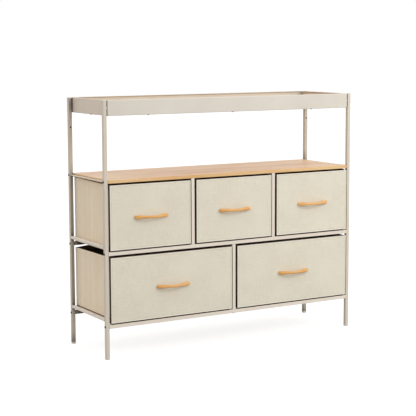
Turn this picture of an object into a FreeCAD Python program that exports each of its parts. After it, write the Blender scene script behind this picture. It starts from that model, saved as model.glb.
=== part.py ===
"""Fabric drawer dresser: steel-tube frame, five fabric drawers, shelf board and a raised tray on top.

Millimetres. +Z is up, X is the width (right is +) and the front faces -Y.
The origin is on the floor, at the centre of the whole dresser's footprint, handles and bolt heads included.
"""
import FreeCAD
import Part
import math
import os

V = FreeCAD.Vector
X_AXIS = V(1, 0, 0)
Y_AXIS = V(0, 1, 0)
Z_AXIS = V(0, 0, 1)

# ---------------------------------------------------------------- driving dimensions
# Frame
FRAME_WIDTH = 1000.0          # over the outer faces of the legs
FRAME_DEPTH = 285.0           # over the front and back faces of the legs
LEG_HEIGHT = 865.0            # floor to the top of the leg caps
TUBE = 13.0                   # side of the square tube
TUBE_CORNER = 1.8             # outer corner radius of the tube
TUBE_WALL = 1.0
FLOOR_CLEARANCE = 105.0       # floor to the underside of the lower long rails
LOWER_ROW = 232.0             # clear height of the lower drawer row
UPPER_ROW = 228.0             # clear height of the upper drawer row
SIDE_TUBE = 10.0              # slimmer tube of the side rails and divider bars
SIDE_RAIL_LIFT = 11.0         # side rails stand this far above the long rails' tops
SIDE_ROD_DIAMETER = 4.5       # slim rod beside each end of the shelf board
UPPER_DRAWERS = 3
LOWER_DRAWERS = 2

# Shelf board
BOARD_THICKNESS = 12.0
BOARD_CORNER = 4.0            # radius of the board's vertical corners
BOARD_EDGE = 1.0              # radius of the board's long edges

# Feet and caps
FOOT_HEIGHT = 7.0
FOOT_CHAMFER = 1.0
CAP_HEIGHT = 2.5
PLUG_LENGTH = 12.0            # how far a foot or cap reaches into its leg
PLUG_CLEARANCE = 0.15

# Divider pins
PIN_DIAMETER = 5.0
PIN_LENGTH = 6.0
PIN_CLEARANCE = 0.3
END_PLATE = 2.0               # closed ends of rails and posts

# Tray
TRAY_HEIGHT = 52.0
TRAY_SIDE_GAP = 2.5           # tray to the legs' inner faces
SHEET = 1.2
BEND = 1.2                    # inside bend radius of the sheet
TRAY_LIP = 8.0                # top flange, turned inwards
TRAY_FLANGE = 16.0            # bottom flange, turned inwards
TRAY_RETURN = 12.5            # end returns of the front and back panels
TRAY_SEAM = 0.5               # between the side panels and the returns
TRAY_BOARD = 8.0
TRAY_BOARD_GAP = 0.5
BOSS_DIAMETER = 9.0           # pressed pads that meet the legs

# Fasteners
BOLT_DIAMETER = 5.0
BOLT_LENGTH = 22.0
BOLT_HEAD_DIAMETER = 8.5
BOLT_HEAD_HEIGHT = 2.5
BOLT_SOCKET = 3.0             # hex key size
SMALL_BOLT_DIAMETER = 4.0     # of the tray and the divider posts
SMALL_BOLT_HEAD_DIAMETER = 7.6
SMALL_BOLT_HEAD_HEIGHT = 2.2
SMALL_BOLT_SOCKET = 2.5
TRAY_BOLT_LENGTH = 14.0
POST_BOLT_LENGTH = 18.0
BOLT_CLEARANCE = 0.2
WOOD_SCREW_DIAMETER = 3.5
WOOD_SCREW_LENGTH = 8.0
WOOD_SCREW_HEAD_DIAMETER = 7.0
WOOD_SCREW_HEAD_HEIGHT = 2.0
WOOD_SCREW_CLEARANCE = 0.15
FLOOR_SCREW_PITCH = 330.0     # along the front and back flanges
ANCHOR_HOLE_DIAMETER = 5.5
ANCHOR_HOLE_DROP = 102.5      # below the leg tops

# Drawers
FRONT_PROUD = 4.0             # drawer fronts stand this far in front of the legs
FRONT_THICKNESS = 7.0
FRONT_EDGE = 1.5
DRAWER_SIDE_GAP = 5.5         # drawer front to the posts and legs
DRAWER_TOP_GAP = 6.0
FRONT_FOOT_GAP = 3.5          # drawer front's lower edge above the rail
DRAWER_BACK_INSET = 1.5       # drawer's back to the back plane of the frame
BODY_SIDE_INSET = 1.5         # fabric body inside the ends of its front
RUN_GAP = 0.3                 # drawer body above the rails it slides on
FABRIC = 2.5
BOTTOM_BOARD = 3.0
BOTTOM_BOARD_CORNER = 1.5
BOTTOM_BOARD_GAP = 1.0

# Handles
HANDLE_LENGTH = 128.0
HANDLE_PROJECTION = 25.0
HANDLE_BAR = 8.0              # thickness of the bow at its middle, front to back
HANDLE_FOOT = 24.0            # length of each foot on the drawer front
HANDLE_END = 5.0              # thickness of the blunt ends
HANDLE_END_HEIGHT = 12.0
HANDLE_WAIST_HEIGHT = 9.0
HANDLE_CROWN = 7.5            # radius of the front face from top to bottom
HANDLE_PITCH = 96.0           # between its two screws
HANDLE_DROP = 2.0             # below the middle of the front
HANDLE_SCREW_DIAMETER = 4.0
HANDLE_SCREW_BITE = 7.0       # into the handle's foot
HANDLE_SCREW_CLEARANCE = 0.2
HANDLE_SCREW_HEAD_DIAMETER = 8.0
HANDLE_SCREW_HEAD_HEIGHT = 2.4

# ---------------------------------------------------------------- derived places
DRAWER_REACH = FRONT_PROUD + HANDLE_PROJECTION
FRONT_Y = DRAWER_REACH - (FRAME_DEPTH + DRAWER_REACH) / 2
BACK_Y = FRONT_Y + FRAME_DEPTH
OUTER_X = FRAME_WIDTH / 2
INNER_X = OUTER_X - TUBE
LEG_X = OUTER_X - TUBE / 2
LEG_FRONT_Y = FRONT_Y + TUBE / 2
LEG_BACK_Y = BACK_Y - TUBE / 2
LOWER_RAIL_Z = FLOOR_CLEARANCE
LOWER_RAIL_TOP = LOWER_RAIL_Z + TUBE
MIDDLE_RAIL_Z = LOWER_RAIL_TOP + LOWER_ROW
MIDDLE_RAIL_TOP = MIDDLE_RAIL_Z + TUBE
BOARD_Z = MIDDLE_RAIL_TOP + UPPER_ROW
BOARD_TOP = BOARD_Z + BOARD_THICKNESS
BOARD_MID = BOARD_Z + BOARD_THICKNESS / 2
TRAY_Z = LEG_HEIGHT - TRAY_HEIGHT
TRAY_X = INNER_X - TRAY_SIDE_GAP
TRAY_BOLT_Z = TRAY_Z + TRAY_HEIGHT / 2
ANCHOR_Z = LEG_HEIGHT - ANCHOR_HOLE_DROP
SIDES = {"left": -1, "right": 1}
LEG_ROWS = {"front": LEG_FRONT_Y, "back": LEG_BACK_Y}


# ---------------------------------------------------------------- shape helpers
def save(name, *solids):
    """Write one named piece, or a group of pieces that go together, as parts/NAME.step."""
    shape = solids[0] if len(solids) == 1 else Part.makeCompound(list(solids))
    shape.exportStep("parts/" + name + ".step")


def placed(shape, x=0.0, y=0.0, z=0.0):
    copy = shape.copy()
    copy.translate(V(x, y, z))
    return copy


def block(x0, x1, y0, y1, z0, z1):
    return Part.makeBox(x1 - x0, y1 - y0, z1 - z0, V(x0, y0, z0))


def cylinder(diameter, length, start, direction):
    return Part.makeCylinder(diameter / 2, length, start, direction)


def fillet_along(shape, direction, radius):
    """Round every straight edge of a block that runs along the given direction."""
    edges = [e for e in shape.Edges if abs(e.tangentAt(e.FirstParameter).dot(direction)) > 0.999]
    return shape.makeFillet(radius, edges)


def rounded_face(width, height, radius):
    """A face in the XY plane, centred on the origin, with round corners."""
    w = width / 2
    h = height / 2
    k = radius * (1 - math.sqrt(0.5))
    corners = [(w, h, -1, -1), (-w, h, 1, -1), (-w, -h, 1, 1), (w, -h, -1, 1)]
    edges = []
    last = None
    for index, (cx, cy, sx, sy) in enumerate(corners):
        along_x = V(cx + sx * radius, cy, 0)
        along_y = V(cx, cy + sy * radius, 0)
        middle = V(cx + sx * k, cy + sy * k, 0)
        begin, end = (along_y, along_x) if index % 2 == 0 else (along_x, along_y)
        if last is not None:
            edges.append(Part.makeLine(last, begin))
        edges.append(Part.Arc(begin, middle, end).toShape())
        last = end
    edges.append(Part.makeLine(last, edges[0].Vertexes[0].Point))
    return Part.Face(Part.Wire(edges))


def turned(shape, axis):
    """Turn a shape built along +Z so that it runs along the given axis."""
    copy = shape.copy()
    if axis == X_AXIS:
        copy.rotate(V(0, 0, 0), Y_AXIS, 90)
    elif axis == Y_AXIS:
        copy.rotate(V(0, 0, 0), X_AXIS, -90)
    return copy


def tube(length, axis, size=TUBE, closed=0.0):
    """Hollow square tube from the origin along an axis, centred on it; closed is an end plate's thickness."""
    outer = rounded_face(size, size, TUBE_CORNER).extrude(V(0, 0, length))
    bore = size - 2 * TUBE_WALL
    inner_radius = TUBE_CORNER - TUBE_WALL
    core = rounded_face(bore, bore, inner_radius).extrude(V(0, 0, length - 2 * closed))
    return turned(outer.cut(placed(core, z=closed)), axis)


def rounded_path(points, radius):
    """Edges through the points, with every inner corner rounded."""
    edges = []
    last = points[0]
    for before, corner, after in zip(points, points[1:], points[2:]):
        into = (corner - before).normalize()
        out = (after - corner).normalize()
        turn = into.getAngle(out)
        trim = radius * math.tan(turn / 2)
        begin = corner - into * trim
        end = corner + out * trim
        inward = (out - into).normalize()
        middle = corner + inward * radius * (1 / math.cos(turn / 2) - 1)
        edges.append(Part.makeLine(last, begin))
        edges.append(Part.Arc(begin, middle, end).toShape())
        last = end
    edges.append(Part.makeLine(last, points[-1]))
    return edges


def bent_sheet(points, normal):
    """Face of a bent sheet: the points run along its outer skin and the thickness lies to their left.

    The points turn left at every corner, seen against the normal.
    """
    inner = []
    for index, point in enumerate(points):
        into = (point - points[index - 1]).normalize() if index else None
        out = (points[index + 1] - point).normalize() if index + 1 < len(points) else None
        sides = [normal.cross(d) for d in (into, out) if d is not None]
        shift = sides[0] if len(sides) == 1 else sides[0] + sides[1]
        inner.append(point + shift * SHEET)
    skin = rounded_path(points, BEND + SHEET)
    core = rounded_path(inner, BEND)
    ends = [Part.makeLine(points[-1], inner[-1]), Part.makeLine(inner[0], points[0])]
    return Part.Face(Part.Wire(Part.__sortEdges__(skin + core + ends)))


def button_bolt(diameter, length, head_diameter, head_height, key):
    """Button-head bolt along +Z: the head's underside is at the origin and the shank runs up."""
    radius = head_diameter / 2
    flat = radius * 0.45
    crown = Part.Arc(V(radius, 0, 0), V(radius * 0.82, 0, -head_height * 0.62), V(flat, 0, -head_height))
    top = V(0, 0, -head_height)
    profile = [crown.toShape(), Part.makeLine(V(flat, 0, -head_height), top),
               Part.makeLine(top, V(0, 0, 0)), Part.makeLine(V(0, 0, 0), V(radius, 0, 0))]
    head = Part.Face(Part.Wire(profile)).revolve(V(0, 0, 0), Z_AXIS, 360)
    corner = key / math.sqrt(3)
    turns = [math.radians(60 * i) for i in range(7)]
    hexagon = [V(corner * math.cos(t), corner * math.sin(t), -head_height) for t in turns]
    socket = Part.Face(Part.makePolygon(hexagon)).extrude(V(0, 0, head_height * 0.6))
    shank = cylinder(diameter, length, V(0, 0, 0), Z_AXIS)
    return head.cut(socket).fuse(shank).removeSplitter()


def pan_screw(diameter, length, head_diameter, head_height):
    """Pan-head screw along +Z: the head's underside is at the origin and the shank runs up."""
    head = cylinder(head_diameter, head_height, V(0, 0, -head_height), Z_AXIS)
    rim = [e for e in head.Edges if abs(e.CenterOfMass.z + head_height) < 1e-6]
    head = head.makeChamfer(head_height / 2, rim)
    return head.fuse(cylinder(diameter, length, V(0, 0, 0), Z_AXIS)).removeSplitter()


# ---------------------------------------------------------------- frame
def leg(side, row):
    """One leg, with bolt holes across it, and wall-anchor holes through a back leg."""
    y = LEG_ROWS[row]
    length = LEG_HEIGHT - CAP_HEIGHT - FOOT_HEIGHT
    shape = placed(tube(length, Z_AXIS), side * LEG_X, y, FOOT_HEIGHT)
    bolt_hole = BOLT_DIAMETER + 2 * BOLT_CLEARANCE
    for z in (LOWER_RAIL_Z + TUBE / 2, MIDDLE_RAIL_Z + TUBE / 2, BOARD_MID):
        shape = shape.cut(cylinder(bolt_hole, TUBE, V(side * OUTER_X, y, z), X_AXIS * -side))
    tray_hole = SMALL_BOLT_DIAMETER + 2 * BOLT_CLEARANCE
    shape = shape.cut(cylinder(tray_hole, TUBE / 2, V(side * INNER_X, y, TRAY_BOLT_Z), X_AXIS * side))
    if row == "back":
        start = V(side * LEG_X, y - TUBE / 2, ANCHOR_Z)
        shape = shape.cut(cylinder(ANCHOR_HOLE_DIAMETER, TUBE, start, Y_AXIS))
    return shape


def plug(head_height, head_z, plug_up):
    """Plastic end piece of a leg: a head as wide as the tube and a stem that fills its bore."""
    head = rounded_face(TUBE, TUBE, TUBE_CORNER).extrude(V(0, 0, head_height))
    bore = TUBE - 2 * TUBE_WALL - 2 * PLUG_CLEARANCE
    stem = rounded_face(bore, bore, TUBE_CORNER - TUBE_WALL).extrude(V(0, 0, PLUG_LENGTH))
    stem_z = head_height if plug_up else -PLUG_LENGTH
    free_z = 0.0 if plug_up else head_height
    rim = [e for e in head.Edges if abs(e.CenterOfMass.z - free_z) < 1e-6]
    head = head.makeChamfer(min(FOOT_CHAMFER, head_height / 2), rim)
    return placed(head.fuse(placed(stem, z=stem_z)).removeSplitter(), z=head_z)


def leg_ends(head_height, head_z, plug_up):
    piece = plug(head_height, head_z, plug_up)
    return [placed(piece, s * LEG_X, y) for s in SIDES.values() for y in LEG_ROWS.values()]


def side_rail(side, z):
    """Tube welded between the front and the back leg of one side, flush with their outer faces."""
    shape = tube(FRAME_DEPTH - 2 * TUBE, Y_AXIS, SIDE_TUBE)
    return placed(shape, side * (OUTER_X - SIDE_TUBE / 2), FRONT_Y + TUBE, z + SIDE_TUBE / 2)


def side_rod(side):
    """Slim rod beside the shelf board's end, at the middle of its thickness."""
    start = V(side * LEG_X, FRONT_Y + TUBE, BOARD_MID)
    return cylinder(SIDE_ROD_DIAMETER, FRAME_DEPTH - 2 * TUBE, start, Y_AXIS)


def post_places(count):
    """X places of the posts that divide the width between the legs into equal openings."""
    opening = (2 * INNER_X - (count - 1) * TUBE) / count
    return [-INNER_X + (i + 1) * opening + (i + 0.5) * TUBE for i in range(count - 1)]


def long_rail(y, z, posts_above, posts_below):
    """Tube between left and right legs, with closed, bored ends.

    A post above is bolted down through the whole rail; a post below has a pin in its underside.
    """
    shape = placed(tube(2 * INNER_X, X_AXIS, closed=END_PLATE), -INNER_X, y, z + TUBE / 2)
    hole = BOLT_DIAMETER + 2 * BOLT_CLEARANCE
    for side in SIDES.values():
        shape = shape.cut(cylinder(hole, END_PLATE, V(side * INNER_X, y, z + TUBE / 2), X_AXIS * -side))
    for x in posts_above:
        shape = shape.cut(cylinder(SMALL_BOLT_DIAMETER + 2 * BOLT_CLEARANCE, TUBE, V(x, y, z), Z_AXIS))
    for x in posts_below:
        shape = shape.cut(cylinder(PIN_DIAMETER + 2 * PIN_CLEARANCE, TUBE / 2, V(x, y, z), Z_AXIS))
    return shape


def post(x, y, z, height):
    """Divider post with closed ends, a bolt hole in its foot and a locating pin on top."""
    shape = placed(tube(height, Z_AXIS, closed=END_PLATE), x, y, z)
    shape = shape.fuse(cylinder(PIN_DIAMETER, PIN_LENGTH, V(x, y, z + height), Z_AXIS)).removeSplitter()
    return shape.cut(cylinder(SMALL_BOLT_DIAMETER + 2 * BOLT_CLEARANCE, END_PLATE, V(x, y, z), Z_AXIS))


def divider_bar(x, z):
    """Front-to-back tube between the two posts of a divider, level with the side rails."""
    return placed(tube(FRAME_DEPTH - 2 * TUBE, Y_AXIS, SIDE_TUBE), x, FRONT_Y + TUBE, z + SIDE_TUBE / 2)


def shelf_board():
    """Board between the side frames, bored at its ends for bolts and below for the divider pins."""
    shape = block(-INNER_X, INNER_X, FRONT_Y, BACK_Y, BOARD_Z, BOARD_TOP)
    shape = fillet_along(shape, Z_AXIS, BOARD_CORNER)
    long_edges = [e for e in shape.Edges if abs(e.tangentAt(e.FirstParameter).x) > 0.999]
    shape = shape.makeFillet(BOARD_EDGE, long_edges)
    depth = BOLT_LENGTH - TUBE + BOLT_CLEARANCE
    hole = BOLT_DIAMETER + 2 * BOLT_CLEARANCE
    for side in SIDES.values():
        for y in LEG_ROWS.values():
            shape = shape.cut(cylinder(hole, depth, V(side * INNER_X, y, BOARD_MID), X_AXIS * -side))
    for x in post_places(UPPER_DRAWERS):
        for y in LEG_ROWS.values():
            pin = cylinder(PIN_DIAMETER + 2 * PIN_CLEARANCE, PIN_LENGTH + PIN_CLEARANCE,
                           V(x, y, BOARD_Z), Z_AXIS)
            shape = shape.cut(pin)
    return shape


def frame_bolts():
    """Bolts through the legs into the long rails and the shelf board, heads on the outer faces."""
    bolt = turned(button_bolt(BOLT_DIAMETER, BOLT_LENGTH, BOLT_HEAD_DIAMETER, BOLT_HEAD_HEIGHT,
                              BOLT_SOCKET), X_AXIS)
    mirrored = bolt.mirror(V(0, 0, 0), X_AXIS)
    bolts = []
    for y in LEG_ROWS.values():
        for z in (LOWER_RAIL_Z + TUBE / 2, MIDDLE_RAIL_Z + TUBE / 2, BOARD_MID):
            bolts.append(placed(bolt, -OUTER_X, y, z))
            bolts.append(placed(mirrored, OUTER_X, y, z))
    return bolts


def post_bolts():
    """Bolts from beneath, through the long rails into the feet of the posts that stand on them."""
    bolt = button_bolt(SMALL_BOLT_DIAMETER, POST_BOLT_LENGTH, SMALL_BOLT_HEAD_DIAMETER,
                       SMALL_BOLT_HEAD_HEIGHT, SMALL_BOLT_SOCKET)
    places = [(x, LOWER_RAIL_Z) for x in post_places(LOWER_DRAWERS)]
    places += [(x, MIDDLE_RAIL_Z) for x in post_places(UPPER_DRAWERS)]
    return [placed(bolt, x, y, z) for x, z in places for y in LEG_ROWS.values()]


# ---------------------------------------------------------------- tray
def tray_long_panel(front):
    """Front or back tray panel: a bent channel with a return and a pressed pad at each end."""
    face_y = FRONT_Y if front else BACK_Y
    s = 1 if front else -1
    top = LEG_HEIGHT
    notch = BEND + SHEET
    channel_x = TRAY_X - notch
    outline = [V(-channel_x, face_y + s * TRAY_LIP, top), V(-channel_x, face_y, top),
               V(-channel_x, face_y, TRAY_Z), V(-channel_x, face_y + s * TRAY_FLANGE, TRAY_Z)]
    channel = bent_sheet(outline, X_AXIS * s).extrude(V(2 * channel_x, 0, 0))
    shape = channel
    for side in SIDES.values():
        corner = [V(side * (channel_x - notch), face_y, TRAY_Z + notch),
                  V(side * TRAY_X, face_y, TRAY_Z + notch),
                  V(side * TRAY_X, face_y + s * TRAY_RETURN, TRAY_Z + notch)]
        wrap = bent_sheet(corner, Z_AXIS * (s * side)).extrude(V(0, 0, TRAY_HEIGHT - 2 * notch))
        seat = V(side * (TRAY_X - SHEET), face_y + s * TUBE / 2, TRAY_BOLT_Z)
        reach = SHEET + TRAY_SIDE_GAP
        pad = cylinder(BOSS_DIAMETER, reach, seat, X_AXIS * side)
        hole = cylinder(SMALL_BOLT_DIAMETER + 2 * BOLT_CLEARANCE, reach, seat, X_AXIS * side)
        shape = shape.fuse(wrap).fuse(pad).cut(hole)
    for x in (-FLOOR_SCREW_PITCH, 0.0, FLOOR_SCREW_PITCH):
        hole = cylinder(WOOD_SCREW_DIAMETER + 2 * WOOD_SCREW_CLEARANCE, SHEET,
                        V(x, face_y + s * TRAY_FLANGE / 2, TRAY_Z), Z_AXIS)
        shape = shape.cut(hole)
    return shape.removeSplitter()


def tray_side_panel(side):
    """Left or right tray panel: a bent channel between the returns, its flange notched at both ends."""
    y0 = FRONT_Y + TRAY_RETURN + TRAY_SEAM
    y1 = BACK_Y - TRAY_RETURN - TRAY_SEAM
    outline = [V(side * (TRAY_X - TRAY_LIP), y0, LEG_HEIGHT), V(side * TRAY_X, y0, LEG_HEIGHT),
               V(side * TRAY_X, y0, TRAY_Z), V(side * (TRAY_X - TRAY_FLANGE), y0, TRAY_Z)]
    shape = bent_sheet(outline, Y_AXIS * side).extrude(V(0, y1 - y0, 0))
    notch_reach = TRAY_FLANGE + TRAY_SEAM
    x0, x1 = sorted((0.0, side * (TRAY_X - SHEET - BEND)))
    for start in (FRONT_Y, BACK_Y - notch_reach):
        shape = shape.cut(block(x0, x1, start, start + notch_reach, TRAY_Z, TRAY_Z + SHEET))
    screw_place = V(side * (TRAY_X - TRAY_FLANGE / 2), (FRONT_Y + BACK_Y) / 2, TRAY_Z)
    return shape.cut(cylinder(WOOD_SCREW_DIAMETER + 2 * WOOD_SCREW_CLEARANCE, SHEET, screw_place, Z_AXIS))


def floor_screw_places():
    places = []
    for x in (-FLOOR_SCREW_PITCH, 0.0, FLOOR_SCREW_PITCH):
        places.append((x, FRONT_Y + TRAY_FLANGE / 2))
        places.append((x, BACK_Y - TRAY_FLANGE / 2))
    for side in SIDES.values():
        places.append((side * (TRAY_X - TRAY_FLANGE / 2), (FRONT_Y + BACK_Y) / 2))
    return places


def tray_floor():
    """Board that lies on the panels' bottom flanges, with pilot holes from below."""
    inset = SHEET + TRAY_BOARD_GAP
    z = TRAY_Z + SHEET
    shape = block(-TRAY_X + inset, TRAY_X - inset, FRONT_Y + inset, BACK_Y - inset, z, z + TRAY_BOARD)
    lower = [e for e in shape.Edges if abs(e.CenterOfMass.z - z) < 1e-6]
    shape = shape.makeChamfer(BEND, lower)
    pilot = WOOD_SCREW_DIAMETER + 2 * WOOD_SCREW_CLEARANCE
    for x, y in floor_screw_places():
        depth = WOOD_SCREW_LENGTH - SHEET + WOOD_SCREW_CLEARANCE
        shape = shape.cut(cylinder(pilot, depth, V(x, y, z), Z_AXIS))
    return shape


def tray_floor_screws():
    screw = pan_screw(WOOD_SCREW_DIAMETER, WOOD_SCREW_LENGTH, WOOD_SCREW_HEAD_DIAMETER,
                      WOOD_SCREW_HEAD_HEIGHT)
    return [placed(screw, x, y, TRAY_Z) for x, y in floor_screw_places()]


def tray_bolts():
    """Bolts from inside the tray through the pads of its returns into the legs."""
    bolt = turned(button_bolt(SMALL_BOLT_DIAMETER, TRAY_BOLT_LENGTH, SMALL_BOLT_HEAD_DIAMETER,
                              SMALL_BOLT_HEAD_HEIGHT, SMALL_BOLT_SOCKET), X_AXIS)
    mirrored = bolt.mirror(V(0, 0, 0), X_AXIS)
    bolts = []
    for y in LEG_ROWS.values():
        bolts.append(placed(bolt, TRAY_X - SHEET, y, TRAY_BOLT_Z))
        bolts.append(placed(mirrored, -TRAY_X + SHEET, y, TRAY_BOLT_Z))
    return bolts


# ---------------------------------------------------------------- drawers
def drawer_front(x0, x1, z0, z1, handle_z):
    """Stiff front with soft round edges, bored for the handle's screws."""
    shape = block(x0, x1, FRONT_Y - FRONT_PROUD, FRONT_Y - FRONT_PROUD + FRONT_THICKNESS, z0, z1)
    shape = fillet_along(shape, Y_AXIS, FRONT_EDGE)
    rim = [e for e in shape.Edges if e.BoundBox.YMax < FRONT_Y - FRONT_PROUD + 1e-6]
    return shape.makeFillet(FRONT_EDGE, rim).cut(handle_holes(x0, x1, handle_z))


def handle_holes(x0, x1, handle_z):
    """Both screw holes, from the drawer's inside to the front's face."""
    middle = (x0 + x1) / 2
    start = FRONT_Y - FRONT_PROUD
    hole = HANDLE_SCREW_DIAMETER + 2 * HANDLE_SCREW_CLEARANCE
    length = FRONT_THICKNESS + FABRIC
    holes = [cylinder(hole, length, V(middle + s * HANDLE_PITCH / 2, start, handle_z), Y_AXIS)
             for s in SIDES.values()]
    return Part.makeCompound(holes)


def drawer_body(x0, x1, z0, z1, handle_z):
    """Fabric box, open on top: a floor panel with four wall panels sewn to it and to each other."""
    y0 = FRONT_Y - FRONT_PROUD + FRONT_THICKNESS
    y1 = BACK_Y - DRAWER_BACK_INSET
    wall_z = z0 + FABRIC
    floor = block(x0, x1, y0, y1, z0, wall_z)
    front = block(x0, x1, y0, y0 + FABRIC, wall_z, z1).cut(handle_holes(x0, x1, handle_z))
    back = block(x0, x1, y1 - FABRIC, y1, wall_z, z1)
    left = block(x0, x0 + FABRIC, y0 + FABRIC, y1 - FABRIC, wall_z, z1)
    right = block(x1 - FABRIC, x1, y0 + FABRIC, y1 - FABRIC, wall_z, z1)
    return [floor, front, back, left, right]


def drawer_bottom(x0, x1, z0):
    """Loose stiff board on the floor of the fabric box."""
    inset = FABRIC + BOTTOM_BOARD_GAP
    y0 = FRONT_Y - FRONT_PROUD + FRONT_THICKNESS + inset
    y1 = BACK_Y - DRAWER_BACK_INSET - inset
    z = z0 + FABRIC
    shape = block(x0 + inset, x1 - inset, y0, y1, z, z + BOTTOM_BOARD)
    return fillet_along(shape, Z_AXIS, BOTTOM_BOARD_CORNER)


def bow_plan():
    """The bow seen from above: feet on y = 0, a long outer arc, a shorter inner arc and blunt ends."""
    half = HANDLE_LENGTH / 2
    foot = half - HANDLE_FOOT
    inner = HANDLE_PROJECTION - HANDLE_BAR
    end = -HANDLE_END
    return Part.Wire([Part.Arc(V(-half, end, 0), V(0, -HANDLE_PROJECTION, 0), V(half, end, 0)).toShape(),
                      Part.makeLine(V(half, end, 0), V(half, 0, 0)),
                      Part.makeLine(V(half, 0, 0), V(foot, 0, 0)),
                      Part.Arc(V(foot, 0, 0), V(0, -inner, 0), V(-foot, 0, 0)).toShape(),
                      Part.makeLine(V(-foot, 0, 0), V(-half, 0, 0)),
                      Part.makeLine(V(-half, 0, 0), V(-half, end, 0))])


def bow_elevation():
    """The bow seen from the front: round ends joined by two long arcs that narrow to the waist."""
    round_end = HANDLE_END_HEIGHT / 2
    waist = HANDLE_WAIST_HEIGHT / 2
    centre = HANDLE_LENGTH / 2 - round_end
    hollow = (centre ** 2 + waist ** 2 - round_end ** 2) / (2 * (round_end - waist))
    share = hollow / (hollow + round_end)
    x = centre * share
    z = (waist + hollow) * (1 - share)
    return Part.Wire([Part.Arc(V(-x, 0, z), V(0, 0, waist), V(x, 0, z)).toShape(),
                      Part.Arc(V(x, 0, z), V(HANDLE_LENGTH / 2, 0, 0), V(x, 0, -z)).toShape(),
                      Part.Arc(V(x, 0, -z), V(0, 0, -waist), V(-x, 0, -z)).toShape(),
                      Part.Arc(V(-x, 0, -z), V(-HANDLE_LENGTH / 2, 0, 0), V(-x, 0, z)).toShape()])


def bow_crown():
    """Everything behind the bow's front face, which is crowned from top to bottom."""
    half = HANDLE_LENGTH / 2
    rise = HANDLE_PROJECTION - HANDLE_END
    radius = (half ** 2 + rise ** 2) / (2 * rise)
    start = radius - HANDLE_CROWN
    lower = V(start, 0, -HANDLE_CROWN)
    upper = V(start, 0, HANDLE_CROWN)
    profile = [Part.makeLine(V(0, 0, -HANDLE_CROWN), lower),
               Part.Arc(lower, V(radius, 0, 0), upper).toShape(),
               Part.makeLine(upper, V(0, 0, HANDLE_CROWN)),
               Part.makeLine(V(0, 0, HANDLE_CROWN), V(0, 0, -HANDLE_CROWN))]
    disc = Part.Face(Part.Wire(profile)).revolve(V(0, 0, 0), Z_AXIS, 360)
    return placed(disc, y=radius - HANDLE_PROJECTION)


def bowed_handle(middle, handle_z):
    """Bow handle with a crowned front and a screw hole in each foot."""
    tall = 2 * HANDLE_END_HEIGHT
    deep = 4 * HANDLE_PROJECTION
    bow = placed(Part.Face(bow_plan()).extrude(V(0, 0, tall)), z=-tall / 2)
    outline = placed(Part.Face(bow_elevation()).extrude(V(0, deep, 0)), y=-deep / 2)
    shape = bow.common(outline).common(bow_crown())
    hole_depth = HANDLE_SCREW_BITE + HANDLE_SCREW_CLEARANCE
    for s in SIDES.values():
        start = V(s * HANDLE_PITCH / 2, 0, 0)
        hole = cylinder(HANDLE_SCREW_DIAMETER + 2 * HANDLE_SCREW_CLEARANCE, hole_depth, start, Y_AXIS * -1)
        shape = shape.cut(hole)
    return placed(shape, middle, FRONT_Y - FRONT_PROUD, handle_z)


def handle_screws(middle, handle_z):
    """Two pan-head screws from inside the drawer into the handle's feet."""
    seat_y = FRONT_Y - FRONT_PROUD + FRONT_THICKNESS + FABRIC
    length = FRONT_THICKNESS + FABRIC + HANDLE_SCREW_BITE
    screw = pan_screw(HANDLE_SCREW_DIAMETER, length, HANDLE_SCREW_HEAD_DIAMETER, HANDLE_SCREW_HEAD_HEIGHT)
    screw.rotate(V(0, 0, 0), X_AXIS, 90)
    return [placed(screw, middle + s * HANDLE_PITCH / 2, seat_y, handle_z) for s in SIDES.values()]


def drawer(name, x0, x1, rail_top, row_height):
    """All pieces of one drawer in the opening between x0 and x1."""
    front_x0 = x0 + DRAWER_SIDE_GAP
    front_x1 = x1 - DRAWER_SIDE_GAP
    front_z0 = rail_top + FRONT_FOOT_GAP
    rim_z = rail_top + row_height - DRAWER_TOP_GAP
    middle = (front_x0 + front_x1) / 2
    handle_z = (front_z0 + rim_z) / 2 - HANDLE_DROP
    body_x0 = front_x0 + BODY_SIDE_INSET
    body_x1 = front_x1 - BODY_SIDE_INSET
    body_z0 = rail_top + RUN_GAP
    save(name + "_drawer_body", *drawer_body(body_x0, body_x1, body_z0, rim_z, handle_z))
    save(name + "_drawer_front", drawer_front(front_x0, front_x1, front_z0, rim_z, handle_z))
    save(name + "_drawer_bottom_board", drawer_bottom(body_x0, body_x1, body_z0))
    save(name + "_drawer_handle", bowed_handle(middle, handle_z))
    save(name + "_drawer_handle_screws", *handle_screws(middle, handle_z))


def openings(count):
    """Left and right limits of the equal openings of a row."""
    posts = post_places(count)
    starts = [-INNER_X] + [x + TUBE / 2 for x in posts]
    ends = [x - TUBE / 2 for x in posts] + [INNER_X]
    return list(zip(starts, ends))


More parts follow.
